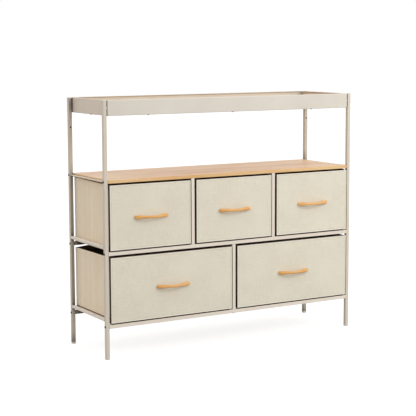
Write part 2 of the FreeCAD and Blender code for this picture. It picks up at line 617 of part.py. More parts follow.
# ---------------------------------------------------------------- the dresser
def build_frame():
    for side_name, side in SIDES.items():
        for row in LEG_ROWS:
            save("leg_" + row + "_" + side_name, leg(side, row))
        save("lower_side_rail_" + side_name, side_rail(side, LOWER_RAIL_TOP + SIDE_RAIL_LIFT))
        save("middle_side_rail_" + side_name, side_rail(side, MIDDLE_RAIL_TOP + SIDE_RAIL_LIFT))
        save("upper_side_rod_" + side_name, side_rod(side))
    save("leg_feet", *leg_ends(FOOT_HEIGHT, 0.0, True))
    save("leg_top_caps", *leg_ends(CAP_HEIGHT, LEG_HEIGHT - CAP_HEIGHT, False))
    upper_posts = post_places(UPPER_DRAWERS)
    lower_posts = post_places(LOWER_DRAWERS)
    for row, y in LEG_ROWS.items():
        save("lower_rail_" + row, long_rail(y, LOWER_RAIL_Z, lower_posts, []))
        save("middle_rail_" + row, long_rail(y, MIDDLE_RAIL_Z, upper_posts, lower_posts))
        for name, x in zip(("left", "right"), upper_posts):
            save("upper_" + name + "_post_" + row, post(x, y, MIDDLE_RAIL_TOP, UPPER_ROW))
        save("lower_post_" + row, post(lower_posts[0], y, LOWER_RAIL_TOP, LOWER_ROW))
    for name, x in zip(("left", "right"), upper_posts):
        save("upper_" + name + "_divider_bar", divider_bar(x, MIDDLE_RAIL_TOP + SIDE_RAIL_LIFT))
    save("lower_divider_bar", divider_bar(lower_posts[0], LOWER_RAIL_TOP + SIDE_RAIL_LIFT))
    save("shelf_board", shelf_board())
    save("frame_bolts", *frame_bolts())
    save("post_bolts", *post_bolts())


def build_tray():
    save("tray_front_panel", tray_long_panel(True))
    save("tray_back_panel", tray_long_panel(False))
    for side_name, side in SIDES.items():
        save("tray_" + side_name + "_panel", tray_side_panel(side))
    save("tray_floor_board", tray_floor())
    save("tray_floor_screws", *tray_floor_screws())
    save("tray_bolts", *tray_bolts())


def build_drawers():
    for name, (x0, x1) in zip(("upper_left", "upper_middle", "upper_right"), openings(UPPER_DRAWERS)):
        drawer(name, x0, x1, MIDDLE_RAIL_TOP, UPPER_ROW)
    for name, (x0, x1) in zip(("lower_left", "lower_right"), openings(LOWER_DRAWERS)):
        drawer(name, x0, x1, LOWER_RAIL_TOP, LOWER_ROW)


os.makedirs("parts", exist_ok=True)
build_frame()
build_tray()
build_drawers()
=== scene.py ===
"""Looks of the fabric drawer dresser: cloth drawers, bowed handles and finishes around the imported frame.

Metres. +Z is up, X is the width (right is +) and the front faces -Y.
"""
import bpy
import bmesh
import math
import random
from mathutils import Matrix, Vector


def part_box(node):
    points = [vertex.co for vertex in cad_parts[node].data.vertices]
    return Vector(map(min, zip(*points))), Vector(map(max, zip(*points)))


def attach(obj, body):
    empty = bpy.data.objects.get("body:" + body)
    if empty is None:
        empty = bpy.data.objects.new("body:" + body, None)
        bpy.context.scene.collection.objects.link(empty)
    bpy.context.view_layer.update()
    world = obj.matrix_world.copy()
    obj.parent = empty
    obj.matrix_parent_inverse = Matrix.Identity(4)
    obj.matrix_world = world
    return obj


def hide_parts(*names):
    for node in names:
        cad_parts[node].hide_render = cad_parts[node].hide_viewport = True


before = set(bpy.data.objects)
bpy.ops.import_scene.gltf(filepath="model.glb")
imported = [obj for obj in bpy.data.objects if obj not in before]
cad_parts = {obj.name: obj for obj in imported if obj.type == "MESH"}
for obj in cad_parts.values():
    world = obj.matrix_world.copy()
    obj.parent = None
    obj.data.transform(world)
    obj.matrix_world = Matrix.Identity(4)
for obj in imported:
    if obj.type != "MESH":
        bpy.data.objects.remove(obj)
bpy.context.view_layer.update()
MM = 0.001
DRAWERS = ("upper_left", "upper_middle", "upper_right", "lower_left", "lower_right")

# ---------------------------------------------------------------- camera
TARGET = Vector((-0.021579, 0.0145, 0.4634))
DISTANCE = 4.509977           # from the camera to TARGET
YAW = math.radians(-30.506)
PITCH = math.radians(7.439)
ROLL = math.radians(-0.202)
LENS = 109.148                # focal length for a sensor SENSOR wide, both in millimetres
SENSOR = 36.0
CLIP_NEAR = 0.05
CLIP_FAR = 60.0


def place_camera():
    data = bpy.data.cameras.new("camera")
    data.sensor_width = SENSOR
    data.lens = LENS
    data.clip_start = CLIP_NEAR
    data.clip_end = CLIP_FAR
    camera = bpy.data.objects.new("camera", data)
    bpy.context.scene.collection.objects.link(camera)
    back = Vector((math.sin(YAW) * math.cos(PITCH), -math.cos(YAW) * math.cos(PITCH), math.sin(PITCH)))
    turn = Matrix.Rotation(YAW, 4, "Z") @ Matrix.Rotation(math.pi / 2 - PITCH, 4, "X")
    turn = turn @ Matrix.Rotation(ROLL, 4, "Z")
    camera.matrix_world = Matrix.Translation(TARGET + back * DISTANCE) @ turn
    bpy.context.scene.camera = camera


# ---------------------------------------------------------------- node graphs
MIX_FACTOR, MIX_A, MIX_B, MIX_RESULT = 0, 6, 7, 2      # a Mix node's sockets for colours
CROSSING = 3.0                # how sharply one thread of a weave passes under the other


def rgb(code):
    """A written sRGB colour as a linear one, with alpha."""
    parts = [int(code[i:i + 2], 16) / 255 for i in (0, 2, 4)]
    return tuple(c / 12.92 if c <= 0.04045 else ((c + 0.055) / 1.055) ** 2.4 for c in parts) + (1.0,)


class Graph:
    """The node tree of one material, in object coordinates.

    The settings are values of the shader's sockets; where one is linked later, its value is only a fallback.
    """

    def __init__(self, name, **settings):
        self.material = bpy.data.materials.new(name)
        self.material.use_nodes = True
        self.nodes = self.material.node_tree.nodes
        self.links = self.material.node_tree.links
        self.nodes.clear()
        self.shader = self.nodes.new("ShaderNodeBsdfPrincipled")
        for socket, value in settings.items():
            self.shader.inputs[socket.replace("_", " ")].default_value = value
        out = self.nodes.new("ShaderNodeOutputMaterial")
        self.links.new(self.shader.outputs[0], out.inputs[0])
        self.place = self.nodes.new("ShaderNodeTexCoord").outputs["Object"]
        split = self.nodes.new("ShaderNodeSeparateXYZ")
        self.links.new(self.place, split.inputs[0])
        self.x, self.y, self.z = split.outputs

    def feed(self, socket, value):
        """Links a socket to another node's output, or sets it to a plain value."""
        if isinstance(value, bpy.types.NodeSocket):
            self.links.new(value, socket)
        else:
            socket.default_value = value

    def math(self, operation, *values, clamp=False):
        node = self.nodes.new("ShaderNodeMath")
        node.operation = operation
        node.use_clamp = clamp
        for socket, value in zip(node.inputs, values):
            self.feed(socket, value)
        return node.outputs[0]

    def noise(self, scale, stretch=(1, 1, 1), detail=3.0, roughness=0.55, distortion=0.0):
        mapping = self.nodes.new("ShaderNodeMapping")
        self.links.new(self.place, mapping.inputs["Vector"])
        mapping.inputs["Scale"].default_value = stretch
        node = self.nodes.new("ShaderNodeTexNoise")
        self.links.new(mapping.outputs[0], node.inputs["Vector"])
        for socket, value in (("Scale", scale), ("Detail", detail), ("Roughness", roughness),
                              ("Distortion", distortion)):
            node.inputs[socket].default_value = value
        return node.outputs["Fac"]

    def ramp(self, source, stops):
        """Colours along a source from 0 to 1; a stop is its place and a written colour or a grey level."""
        node = self.nodes.new("ShaderNodeValToRGB")
        self.links.new(source, node.inputs[0])
        points = node.color_ramp.elements
        while len(points) < len(stops):
            points.new(0.5)
        for point, (at, colour) in zip(points, stops):
            point.position = at
            point.color = rgb(colour) if isinstance(colour, str) else (colour, colour, colour, 1.0)
        return node.outputs[0]

    def spread(self, source, low, high, margin=0.3):
        """A ramp from low to high over the middle of a noise, where nearly all its values lie."""
        return self.ramp(source, [(margin, low), (1 - margin, high)])

    def mix(self, factor, a, b, blend="MIX"):
        node = self.nodes.new("ShaderNodeMix")
        node.data_type = "RGBA"
        node.blend_type = blend
        for socket, value in ((MIX_FACTOR, factor), (MIX_A, a), (MIX_B, b)):
            self.feed(node.inputs[socket], value)
        return node.outputs[MIX_RESULT]

    def shade(self, colour, by, share=1.0):
        """A colour multiplied by another."""
        return self.mix(share, colour, by, "MULTIPLY")

    def bump(self, height, depth, under=None):
        """A bump of the given depth in metres, on top of the normal in under."""
        node = self.nodes.new("ShaderNodeBump")
        node.inputs["Strength"].default_value = 1.0
        node.inputs["Distance"].default_value = depth
        self.links.new(height, node.inputs["Height"])
        if under is not None:
            self.links.new(under, node.inputs["Normal"])
        return node.outputs[0]

    def within(self, value, middle, half):
        """1 where value lies within half of middle, else 0."""
        return self.math("LESS_THAN", self.math("ABSOLUTE", self.math("SUBTRACT", value, middle)), half)

    def weave(self, u, v, pitch):
        """Height of a plain weave, 0 in the gaps and 1 on the threads."""
        s = self.math("SINE", self.math("MULTIPLY", u, math.pi / pitch))
        t = self.math("SINE", self.math("MULTIPLY", v, math.pi / pitch))
        over = self.math("MULTIPLY_ADD", self.math("MULTIPLY", s, t), CROSSING, 0.5, clamp=True)
        warp = self.math("MULTIPLY", self.math("ABSOLUTE", s), over)
        weft = self.math("MULTIPLY", self.math("ABSOLUTE", t), self.math("SUBTRACT", 1.0, over))
        return self.math("ADD", warp, weft)

    def finish(self, colour=None, roughness=None, normal=None):
        for name, source in (("Base Color", colour), ("Roughness", roughness), ("Normal", normal)):
            if source is not None:
                self.feed(self.shader.inputs[name], source)
        return self.material


# ---------------------------------------------------------------- materials
WHITE = "ffffff"
PAINTED_SHADE_TONE = "3d2f22"          # painted shade: multiplies the paint where it is fully shaded
PAINTED_SHADE_SAMPLES = 16
HOLLOW_TONE = "2b2622"        # bare steel inside a leg
TUBE_WALL = 1.0 * MM
THREAD_PITCH = 0.9 * MM       # of the drawers' woven cloth
SLUB_SCALE = 420.0            # of the noise that makes the cloth's thick threads
SLUB_ACROSS = 2.2             # that scale's factor across a thread, and along level and upright ones
SLUB_LEVEL = 0.12
SLUB_UPRIGHT = 0.10
DIMPLE_PITCH = 1.6 * MM       # of the pressed lining
FIGURE = (0.36, 0.5, 0.64)    # where a wood's dark, middle and light tones lie along its figure


def powder_coat(name, low, high, tube=None, reach=10 * MM, hidden=0.3, clear=0.72):
    """Satin powder coat with painted shade: darker where something within reach hides it.

    It is darkest where the open share of its surroundings is below hidden, and plain where that share is
    above clear. Inside the leg named by tube, and inside its mirror image, it is bare steel.
    """
    g = Graph(name, Roughness=0.42, IOR=1.48)
    colour = g.spread(g.noise(7.0, detail=2.0), low, high)
    # painted shade: an ambient occlusion probe darkens the colour in slots and next to nearby parts
    shade_probe = g.nodes.new("ShaderNodeAmbientOcclusion")
    shade_probe.samples = PAINTED_SHADE_SAMPLES
    shade_probe.inputs["Distance"].default_value = reach
    colour = g.shade(colour, g.ramp(shade_probe.outputs["AO"], [(hidden, PAINTED_SHADE_TONE), (clear, WHITE)]))
    if tube is not None:
        near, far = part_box(tube)
        half = (far.x - near.x) / 2 - TUBE_WALL
        inside_x = g.within(g.math("ABSOLUTE", g.x), abs(near.x + far.x) / 2, half)
        inside_y = g.within(g.y, (near.y + far.y) / 2, half)
        colour = g.mix(g.math("MULTIPLY", inside_x, inside_y), colour, rgb(HOLLOW_TONE))
    grain = g.noise(1400.0, detail=1.0)
    peel = g.noise(330.0, detail=2.0)
    normal = g.bump(peel, 0.12 * MM, under=g.bump(grain, 0.06 * MM))
    return g.finish(colour, g.spread(peel, 0.36, 0.5), normal)


def woven_cloth(name, low, high, slub, gap, walls=False, sheen=0.12, ior=1.35):
    """Plain-woven cloth: threads, slubs along both directions and a faint uneven dye.

    With walls set it also covers faces that look sideways, and has faint upright bands.
    """
    g = Graph(name, Roughness=0.85, Sheen_Weight=sheen, Sheen_Roughness=0.5, IOR=ior)
    height = g.weave(g.math("ADD", g.x, g.y) if walls else g.x, g.z, THREAD_PITCH)
    dye = g.spread(g.noise(9.0), low, high)
    level = g.noise(SLUB_SCALE, (SLUB_LEVEL, SLUB_LEVEL, SLUB_ACROSS), detail=2.0)
    upright = g.noise(SLUB_SCALE, (SLUB_ACROSS, SLUB_ACROSS, SLUB_UPRIGHT), detail=2.0)
    threads = g.math("MULTIPLY", level, upright)
    colour = g.mix(g.ramp(threads, [(0.16, 0.0), (0.42, 0.75)]), dye, rgb(slub))
    if walls:
        bands = g.noise(34.0, (1.0, 1.0, 0.03), detail=2.0)
        colour = g.shade(colour, g.ramp(bands, [(0.36, "faf7f2"), (0.62, WHITE)]))
    colour = g.shade(colour, g.ramp(height, [(0.0, gap), (0.45, WHITE)]))
    rough = g.ramp(threads, [(0.1, 0.92), (0.5, 0.8)])
    normal = g.bump(height, 0.22 * MM, under=g.bump(threads, 0.35 * MM))
    return g.finish(colour, rough, normal)


def thread():
    g = Graph("thread", Roughness=0.6, Sheen_Weight=0.2)
    twist = g.noise(2600.0, detail=1.0)
    return g.finish(g.spread(twist, "cfc2ae", "e2d8c6"), normal=g.bump(twist, 0.1 * MM))


def wood(name, tones, edge_tones=None, gloss=0.42, coarse=1.0):
    """Wood with its grain along X; the edge tones go on faces that don't look up or down."""
    g = Graph(name, Roughness=gloss, IOR=1.45)
    sway = g.noise(3.2 * coarse, (1.0, 6.0, 6.0), detail=4.0, distortion=0.6)
    streak = g.noise(9.0 * coarse, (0.35, 22.0, 22.0), detail=6.0, roughness=0.62, distortion=0.25)
    pores = g.noise(60.0 * coarse, (0.22, 26.0, 26.0), detail=3.0, roughness=0.7)
    figure = g.math("MULTIPLY_ADD", sway, 0.45, g.math("MULTIPLY", streak, 0.55))
    colour = g.ramp(figure, list(zip(FIGURE, tones)))
    if edge_tones is not None:
        normal = g.nodes.new("ShaderNodeTexCoord").outputs["Normal"]
        split = g.nodes.new("ShaderNodeSeparateXYZ")
        g.links.new(normal, split.inputs[0])
        flat = g.ramp(g.math("ABSOLUTE", split.outputs[2]), [(0.55, 0.0), (0.8, 1.0)])
        colour = g.mix(flat, g.ramp(figure, list(zip(FIGURE, edge_tones))), colour)
    colour = g.shade(colour, g.ramp(pores, [(0.30, "c9a987"), (0.42, WHITE)]), 0.55)
    normal = g.bump(pores, 0.1 * MM, under=g.bump(streak, 0.12 * MM))
    return g.finish(colour, g.spread(streak, gloss + 0.08, gloss - 0.06), normal)


def plastic():
    g = Graph("foot_plastic", Roughness=0.5, IOR=1.46)
    speck = g.noise(900.0, detail=1.0)
    colour = g.spread(g.noise(40.0), "cbc6b5", "d8d4c5")
    return g.finish(colour, g.spread(speck, 0.44, 0.58), g.bump(speck, 0.05 * MM))


def metal(name, low, high, rough_low, rough_high, metallic):
    g = Graph(name, Metallic=metallic)
    scuff = g.noise(500.0)
    colour = g.spread(scuff, low, high, margin=0.35)
    return g.finish(colour, g.spread(scuff, rough_low, rough_high), g.bump(scuff, 0.04 * MM))


def nonwoven(name, low, high):
    """Pressed, dimpled cloth of the drawers' insides, of the dark strips and of the bottom boards; the first
    two are made dark as painted shade.
    """
    g = Graph(name, Roughness=0.9, Sheen_Weight=0.1)
    dimple = g.weave(g.math("ADD", g.x, g.z), g.math("ADD", g.y, g.z), DIMPLE_PITCH)
    dents = g.ramp(dimple, [(0.0, "b9ab98"), (0.6, WHITE)])
    colour = g.shade(g.spread(g.noise(30.0), low, high), dents, 0.6)
    return g.finish(colour, normal=g.bump(dimple, 0.3 * MM))


# ---------------------------------------------------------------- meshes
def as_object(name, bm, materials, body, smooth_angle=35.0):
    """Turns a finished bmesh into a visible piece that rides on its body."""
    mesh = bpy.data.meshes.new(name)
    bmesh.ops.recalc_face_normals(bm, faces=bm.faces)
    bm.to_mesh(mesh)
    bm.free()
    mesh.shade_smooth()
    mesh.set_sharp_from_angle(angle=math.radians(smooth_angle))
    for material in materials:
        mesh.materials.append(material)
    piece = bpy.data.objects.new(name, mesh)
    bpy.context.scene.collection.objects.link(piece)
    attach(piece, body)
    return piece


def bell(t, width):
    return math.exp(-0.5 * (t / width) ** 2)


def smooth(t):
    """A soft step, from 0 at t = 0 to 1 at t = 1."""
    t = min(max(t, 0.0), 1.0)
    return t * t * (3 - 2 * t)


def steps(start, end, pitch, extra=()):
    """Evenly spaced values, and those in extra instead of any that lie close to them."""
    count = max(2, round((end - start) / pitch))
    values = [start + (end - start) * i / count for i in range(count + 1)]
    keep = [v for v in values if all(abs(v - e) > 0.4 * pitch for e in extra)] + list(extra)
    return sorted(set(keep))


def closed_tube(bm, rings):
    """A skin over rings of equally many points, with both ends closed."""
    for lower, upper in zip(rings, rings[1:]):
        for i in range(len(lower)):
            j = (i + 1) % len(lower)
            bm.faces.new((lower[i], lower[j], upper[j], upper[i]))
    bm.faces.new(rings[0][::-1])
    bm.faces.new(rings[-1])


# ---------------------------------------------------------------- the drawers' fabric boxes
FABRIC = 2.5 * MM             # thickness of a wall
CORNER = 4.0 * MM             # radius of the upright corners
CORNER_STEPS = 5
FOOT_RISE = 7 * MM            # the round at the bottom: how high it goes
FOOT_INSET = 3 * MM           # and how far in
HEM = 13.0 * MM               # folded band along a drawer's rim
HEM_STEP = 0.4 * MM           # how far the plain cloth lies behind a band
HEM_STITCH = 4.2 * MM         # height of the stitches above the hem's lower edge
HEM_FOLD = 0.5 * MM           # depth of the fold halfway along a side, in the hem
FRONT_SHADE_TAPE = 12.0 * MM           # painted shade: dark tape over the box's first stretch behind its front, in the gaps beside the front
SHADE_TAPE_LOW = 15.6 * MM          # painted shadow: dark tape round a lower drawer, above its bottom, just over the side rail
SHADE_TAPE_HIGH = 19.6 * MM
BACK_LEAN = 2.6 * MM          # how far the slack back wall leans in
LEAN_RISE = 25 * MM           # height above the bottom over which the lean sets in
LEAN_REACH = 60 * MM          # length of the sides over which it fades out
WALL_PITCH = 7 * MM           # spacing of the mesh along the walls
OUTER_PITCH = 11 * MM         # and up them, outside and inside
INNER_PITCH = 15 * MM
CREASE = [d * MM for d in (-6.0, -3.0, -1.6, -0.8, 0.0, 0.8, 1.6, 3.0, 6.0)]      # closer, at the fold
LEFT_LIFT = 0.4 * MM          # an upper drawer's rim at its left front end
BACK_LIFT = 2.8 * MM          # how much more it rises to its left back end
RIGHT_LIFT = 3.4 * MM         # its right side
BACK_RISE = 3.6 * MM          # a lower drawer's back rim between its corners
BACK_SINK = 2.2 * MM          # and how far its corners sink


def perimeter(x0, x1, y0, y1):
    """Points around a drawer: (corner centre or wall point, outward direction, wall, distance along it)."""
    left, right, near, far = x0 + CORNER, x1 - CORNER, y0 + CORNER, y1 - CORNER
    walls = [("front", left, right, lambda v: (v, near, 0), (0, -1, 0)),
             ("right", near, far, lambda v: (right, v, 0), (1, 0, 0)),
             ("back", left, right, lambda v: (v, far, 0), (0, 1, 0)),
             ("left", near, far, lambda v: (left, v, 0), (-1, 0, 0))]
    points = []
    for index, (wall, start, end, place, outward) in enumerate(walls):
        middle = (start + end) / 2
        crease = [middle + d for d in CREASE] if wall in ("left", "right") else ()
        along = steps(start, end, WALL_PITCH, crease)
        if wall in ("back", "left"):
            along = along[::-1]
        points += [(Vector(place(v)), Vector(outward), wall, v - middle) for v in along]
        centre = points[-1][0]
        for k in range(1, CORNER_STEPS):
            angle = math.radians(90 * (index - 1) + 90 / CORNER_STEPS * k)
            points.append((centre, Vector((math.cos(angle), math.sin(angle), 0)), "corner", 0.0))
    return points


def cloth_rows(z0, z1, seam):
    """The box's section: up outside, over the rim and down inside to its floor.

    A row is its height, how far it lies inside the outer plane, and the part of the cloth that it belongs to.
    """
    hem_z = z1 - HEM
    rows = []
    for angle in (90, 60, 30, 0):
        a = math.radians(angle)
        rows.append((z0 + FOOT_RISE * (1 - math.sin(a)), FOOT_INSET * (1 - math.cos(a)), "bottom"))
    rows += [(z, HEM_STEP, "outer") for z in steps(z0 + 9 * MM, hem_z - 1.2 * MM, OUTER_PITCH, seam)]
    rows.append((hem_z - 0.5 * MM, HEM_STEP, "outer"))
    # the hem's lower edge and the groove of its stitches
    rows += [(hem_z, 0.12 * MM, "hem"), (hem_z + 0.8 * MM, 0.0, "hem"), (hem_z + 3.6 * MM, 0.02 * MM, "hem"),
             (hem_z + HEM_STITCH, 0.16 * MM, "hem"), (hem_z + 4.8 * MM, 0.02 * MM, "hem"),
             (z1 - 4 * MM, 0.0, "hem")]
    # over the rim
    r = FABRIC / 2
    for angle in range(0, 181, 20):
        a = math.radians(angle)
        rows.append((z1 - r + r * math.sin(a), r - r * math.cos(a), "hem"))
    # down inside
    rows += [(hem_z + 0.8 * MM, FABRIC, "hem"), (hem_z, FABRIC - 0.12 * MM, "hem"),
             (hem_z - 0.5 * MM, FABRIC - HEM_STEP, "inner")]
    down = steps(z0 + FABRIC + 4 * MM, hem_z - 14 * MM, INNER_PITCH)[::-1]
    rows += [(z, FABRIC - HEM_STEP, "inner") for z in down]
    rows += [(z0 + FABRIC + 1.0 * MM, FABRIC, "bottom"), (z0 + FABRIC, FABRIC + 1.0 * MM, "bottom")]
    return rows


def sag(wall, along, half, up, seed):
    """How far a wall's cloth lies inside its flat plane: slack, upright ripples and the fold halfway.

    up runs from 0 at the bottom to 1 at the rim. The amplitudes are in millimetres.
    """
    if wall in ("corner", "front"):
        return 0.0
    belly = smooth((half - abs(along)) / (22 * MM)) * smooth(up / 0.12) * smooth((1 - up) / 0.16)
    slack = 0.55 + 0.30 * math.sin(along * 31 + seed) + 0.22 * math.sin(along * 57 + 9 * up + 2 * seed)
    ripple = 0.10 * math.sin(along * 290 + 1.3 * seed) + 0.07 * math.sin(along * 173 + 3.1 * seed)
    depth = belly * (slack + ripple)
    if wall in ("left", "right"):
        fold = 1.25 * bell(along, 1.3 * MM) * smooth((1 - up) / 0.03)
        shoulders = 0.30 * bell(abs(along) - 4.2 * MM, 2 * MM) * belly
        depth += fold - shoulders
    return max(depth, 0.0) * MM


def rim_lift(lower, back, across, corner):
    """How far the slack rim stands above its level.

    back and across run from 0 to 1, backwards and to the right; corner is the distance to the nearer side.
    """
    if lower:
        rise = BACK_RISE * smooth(corner / (50 * MM)) if back > 0.99 else 0.0
        return rise - BACK_SINK * back ** 2
    left = LEFT_LIFT + BACK_LIFT * smooth(back)
    lift = left + (RIGHT_LIFT - left) * smooth(across)
    return lift * smooth(back / (0.08 - 0.06 * across))


def drawer_cloth(name, cloth, shaded_lining, shade_tape, seed):
    """The fabric box: outer walls, a folded hem over the rim, inner walls and a floor, as one closed skin."""
    low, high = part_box(name + "_drawer_body")
    z0, z1 = low.z, high.z
    hem_z = z1 - HEM
    ring = perimeter(low.x, high.x, low.y, high.y)
    half_x = (high.x - low.x) / 2 - CORNER
    half_y = (high.y - low.y) / 2 - CORNER
    halves = {"front": half_x, "back": half_x, "left": half_y, "right": half_y, "corner": 0.0}
    is_lower = name.startswith("lower")
    # painted shadow: a lower drawer gets a dark band of tape where the side rail's shadow falls
    seam = (z0 + SHADE_TAPE_LOW, z0 + SHADE_TAPE_HIGH) if is_lower else ()
    rows = cloth_rows(z0, z1, seam)
    bm = bmesh.new()
    rings = []
    for z, inset, part in rows:
        up = (z - z0) / (z1 - z0)
        verts = []
        for centre, outward, wall, along in ring:
            depth = inset
            if part in ("outer", "inner"):
                if wall == "front":
                    depth = 0.0 if part == "outer" else FABRIC
                depth += sag(wall, along, halves[wall], up, seed)
            elif part == "hem" and z > hem_z and wall in ("left", "right"):
                share = 1.0 if inset < FABRIC / 2 else 0.6
                depth += share * HEM_FOLD * bell(along, 1.2 * MM)
            spot = centre + outward * (CORNER - depth)
            back = (spot.y - low.y) / (high.y - low.y)
            across = (spot.x - low.x) / (high.x - low.x)
            corner = min(spot.x - low.x, high.x - spot.x)
            lift = rim_lift(is_lower, back, across, corner) * smooth(up * 1.6 - 0.6)
            lean = BACK_LEAN * smooth((z - z0) / LEAN_RISE) * smooth((spot.y - high.y) / LEAN_REACH + 1)
            verts.append(bm.verts.new((spot.x, spot.y - lean, z + lift)))
        rings.append(verts)
    count = len(ring)
    for lower, upper, (z, inset, part) in zip(rings, rings[1:], rows):
        inside = inset >= FABRIC - HEM_STEP and part != "outer"
        for i in range(count):
            j = (i + 1) % count
            face = bm.faces.new((lower[i], lower[j], upper[j], upper[i]))
            # index 1 is the dark inner cloth and index 2 dark tape; both stand in for shade
            in_shade_band = max(lower[i].co.y, lower[j].co.y) < low.y + FRONT_SHADE_TAPE or (seam and z == seam[0])
            face.material_index = 1 if inside else 2 if in_shade_band else 0
    bm.faces.new(rings[0][::-1])
    bm.faces.new(rings[-1]).material_index = 1
    piece = as_object(name + "_drawer_cloth", bm, [cloth, shaded_lining, shade_tape], name + "_drawer")
    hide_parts(name + "_drawer_body")


# ---------------------------------------------------------------- the drawers' fronts
EDGE = 1.5 * MM               # soft edge of a front
TUCK = 2.4 * MM               # how far its side edges draw in towards the back
BAND = 5.0 * MM               # turned border of a front, to its stitch line
FIELD = 0.60 * MM             # how far the field lies behind the border
FIELD_WAVE = 0.35 * MM        # how much further its loose cloth may lie
FRONT_RIGHT = 0.9 * MM        # how far a front reaches past its solid on the right
FRONT_RAISED = 0.7 * MM       # how far above its solid's foot it starts
FRONT_LOWERED = 1.3 * MM      # how far a lower one ends below its solid's top
HANDLE_HALF_PITCH = 48 * MM
FIELD_START = 24 * MM         # where the evenly spaced mesh of a front begins, from its edges
FIELD_PITCH = 8 * MM
BORDER_LINES = [d * MM for d in (0.0, 0.12, 0.45, 0.9, 1.5, 2.6, 3.6, 4.2, 4.6, 5.0, 5.4, 5.9, 7.0, 9.0,
                                 12.0)]


def front_depth(dx, dz, x, z, feet, seed):
    """How far a point of the front lies behind its foremost plane; dx, dz are distances from the edges."""
    d = min(dx, dz)
    if d < EDGE:
        return EDGE - math.sqrt(max(EDGE ** 2 - (EDGE - d) ** 2, 0.0))
    groove = 1.0 * MM * bell(d - BAND, 0.75 * MM)
    crown = 0.10 * MM * (1 - math.sin(math.pi * min((d - EDGE) / (BAND - EDGE), 1.0)))
    inside = smooth((d - BAND) / (2.2 * MM))
    press = max(bell(x - fx, 17 * MM) * bell(z - fz, 11 * MM) for fx, fz in feet)
    wave = 0.5 + 0.22 * math.sin(x * 23 + seed) * math.sin(z * 19 + 2 * seed)
    wave += 0.2 * math.sin(x * 11 - z * 15 + seed)
    calm = smooth((d - BAND) / (45 * MM))
    field = inside * (1 - press) * (FIELD + FIELD_WAVE * wave * calm)
    return crown * (1 - inside) + groove + field


def front_box(name):
    """The covered front's corners: a little to the right, drawn in at the bottom and at a lower one's top."""
    low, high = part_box(name + "_drawer_front")
    high.x += FRONT_RIGHT
    low.z += FRONT_RAISED
    if name.startswith("lower"):
        high.z -= FRONT_LOWERED
    return low, high


def grid_lines(low, high):
    """Where a front's mesh lines lie along one direction: close together in the border."""
    field = steps(low + FIELD_START, high - FIELD_START, FIELD_PITCH)
    return [low + d for d in BORDER_LINES] + field + [high - d for d in reversed(BORDER_LINES)]


def drawer_panel(name, cloth, hem, shade_tape, seed):
    """The stiff front in its cloth: soft edges, a turned border, a sunk stitch line, a nearly flat field."""
    low, high = front_box(name)
    grip_low, grip_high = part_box(name + "_drawer_handle")
    grip = (grip_low + grip_high) / 2
    feet = [(grip.x - HANDLE_HALF_PITCH, grip.z), (grip.x + HANDLE_HALF_PITCH, grip.z)]
    columns = grid_lines(low.x, high.x)
    levels = grid_lines(low.z, high.z)
    half_w = (high.x - low.x) / 2
    half_h = (high.z - low.z) / 2
    centre_x = (low.x + high.x) / 2
    centre_z = (low.z + high.z) / 2

    def rounded(x, z):
        """Rounds the corners: the square at each is pressed into a quarter of a disc."""
        px, pz = x - centre_x, z - centre_z
        qx = abs(px) - (half_w - EDGE)
        qz = abs(pz) - (half_h - EDGE)
        if qx <= 0 or qz <= 0:
            return x, z
        share = max(qx, qz) / math.hypot(qx, qz)
        return (centre_x + math.copysign(half_w - EDGE + qx * share, px),
                centre_z + math.copysign(half_h - EDGE + qz * share, pz))

    bm = bmesh.new()
    grid = []
    for z in levels:
        row = []
        for x in columns:
            dx = min(x - low.x, high.x - x)
            dz = min(z - low.z, high.z - z)
            depth = front_depth(dx, dz, x, z, feet, seed)
            rx, rz = rounded(x, z)
            row.append(bm.verts.new((rx, low.y + depth, rz)))
        grid.append(row)
    for j in range(len(levels) - 1):
        for i in range(len(columns) - 1):
            face = bm.faces.new((grid[j][i], grid[j][i + 1], grid[j + 1][i + 1], grid[j + 1][i]))
            x = (columns[i] + columns[i + 1]) / 2
            z = (levels[j] + levels[j + 1]) / 2
            edge = min(x - low.x, high.x - x, z - low.z, high.z - z)
            # the border faces get the lighter hem cloth: painted light on the raised border
            face.material_index = 1 if edge < BAND else 0
    rim = grid[0] + [row[-1] for row in grid[1:]] + grid[-1][-2::-1] + [row[0] for row in grid[-2:0:-1]]
    last = rim
    # painted shade: the side faces, drawn in towards the back, get dark tape for the shaded gaps beside the
    # front
    for share in (0.3, 0.65, 1.0):
        y = low.y + EDGE + (high.y - low.y - EDGE) * share
        tuck = TUCK * smooth(share)
        ring = [bm.verts.new((min(max(v.co.x, low.x + tuck), high.x - tuck), y, v.co.z)) for v in rim]
        for i in range(len(rim)):
            j = (i + 1) % len(rim)
            bm.faces.new((last[j], last[i], ring[i], ring[j])).material_index = 2
        last = ring
    bm.faces.new(last).material_index = 2
    piece = as_object(name + "_drawer_panel", bm, [cloth, hem, shade_tape], name + "_drawer")
    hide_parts(name + "_drawer_front")


# ---------------------------------------------------------------- stitches
STITCH_PITCH = 3.6 * MM
STITCH_LENGTH = 2.7 * MM
STITCH_RADIUS = 0.32 * MM
STITCH_SIDES = 6
STITCH_LEAN = 0.05            # radians that a stitch may stand askew
STITCH_SECTIONS = ((-0.5, 0.35, 0.9), (-0.32, 1.0, 0.1), (0.32, 1.0, 0.1), (0.5, 0.35, 0.9))
BORDER_SINK = 0.5 * MM        # how far the border's stitches lie behind the front's foremost plane
HEM_SINK = 0.1 * MM           # how far the hem's lie inside its plane


